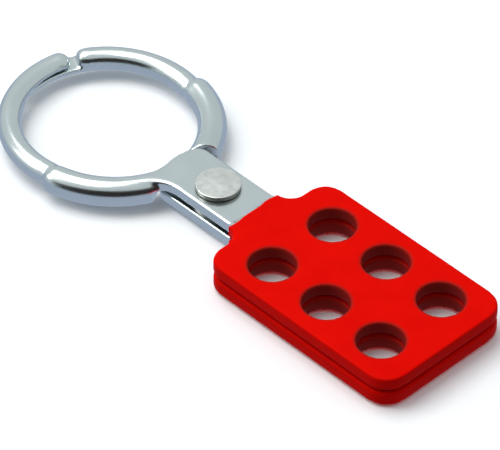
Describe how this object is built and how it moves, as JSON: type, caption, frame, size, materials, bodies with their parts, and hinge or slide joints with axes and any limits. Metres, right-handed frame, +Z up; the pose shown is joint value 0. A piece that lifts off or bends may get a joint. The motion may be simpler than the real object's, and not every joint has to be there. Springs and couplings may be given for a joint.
{
  "type": "lockout hasp",
  "caption": "Steel lockout hasp: two riveted tong-like leaves whose round jaws close into a ring, with red vinyl-dipped handles drilled for safety padlocks.",
  "frame": {"origin": "under the middle of the closed hasp: midway along its length, on its middle line, level with the underside of the rivet's tail", "axes": "+X along the middle line towards the handles' far end, +Z up along the rivet, out of the upper leaf"},
  "size_m": [0.1348, 0.0514, 0.0094],
  "materials": {
    "plated_steel": "bright zinc plating on pressed steel, slightly blue, with faint forming marks",
    "red_vinyl": "dip-moulded vinyl, glossy, softly rounded at every edge and hole",
    "rivet_steel": "plain steel, spun over with fine turned rings",
    "washer_steel": "plain spring steel"
  },
  "bodies": {
    "lower_half": {"lower_leaf": "plated_steel", "lower_coat": "red_vinyl", "rivet": "rivet_steel", "pivot_washer": "washer_steel"},
    "upper_half": {"upper_leaf": "plated_steel", "upper_coat": "red_vinyl"}
  },
  "joints": [
    {"name": "jaw_pivot", "type": "hinge", "parent": "lower_half", "child": "upper_half", "pos_m": [-0.0046, 0, 0.0045], "axis": [0, 0, 1], "range_deg": [-1.5, 84]}
  ]
}
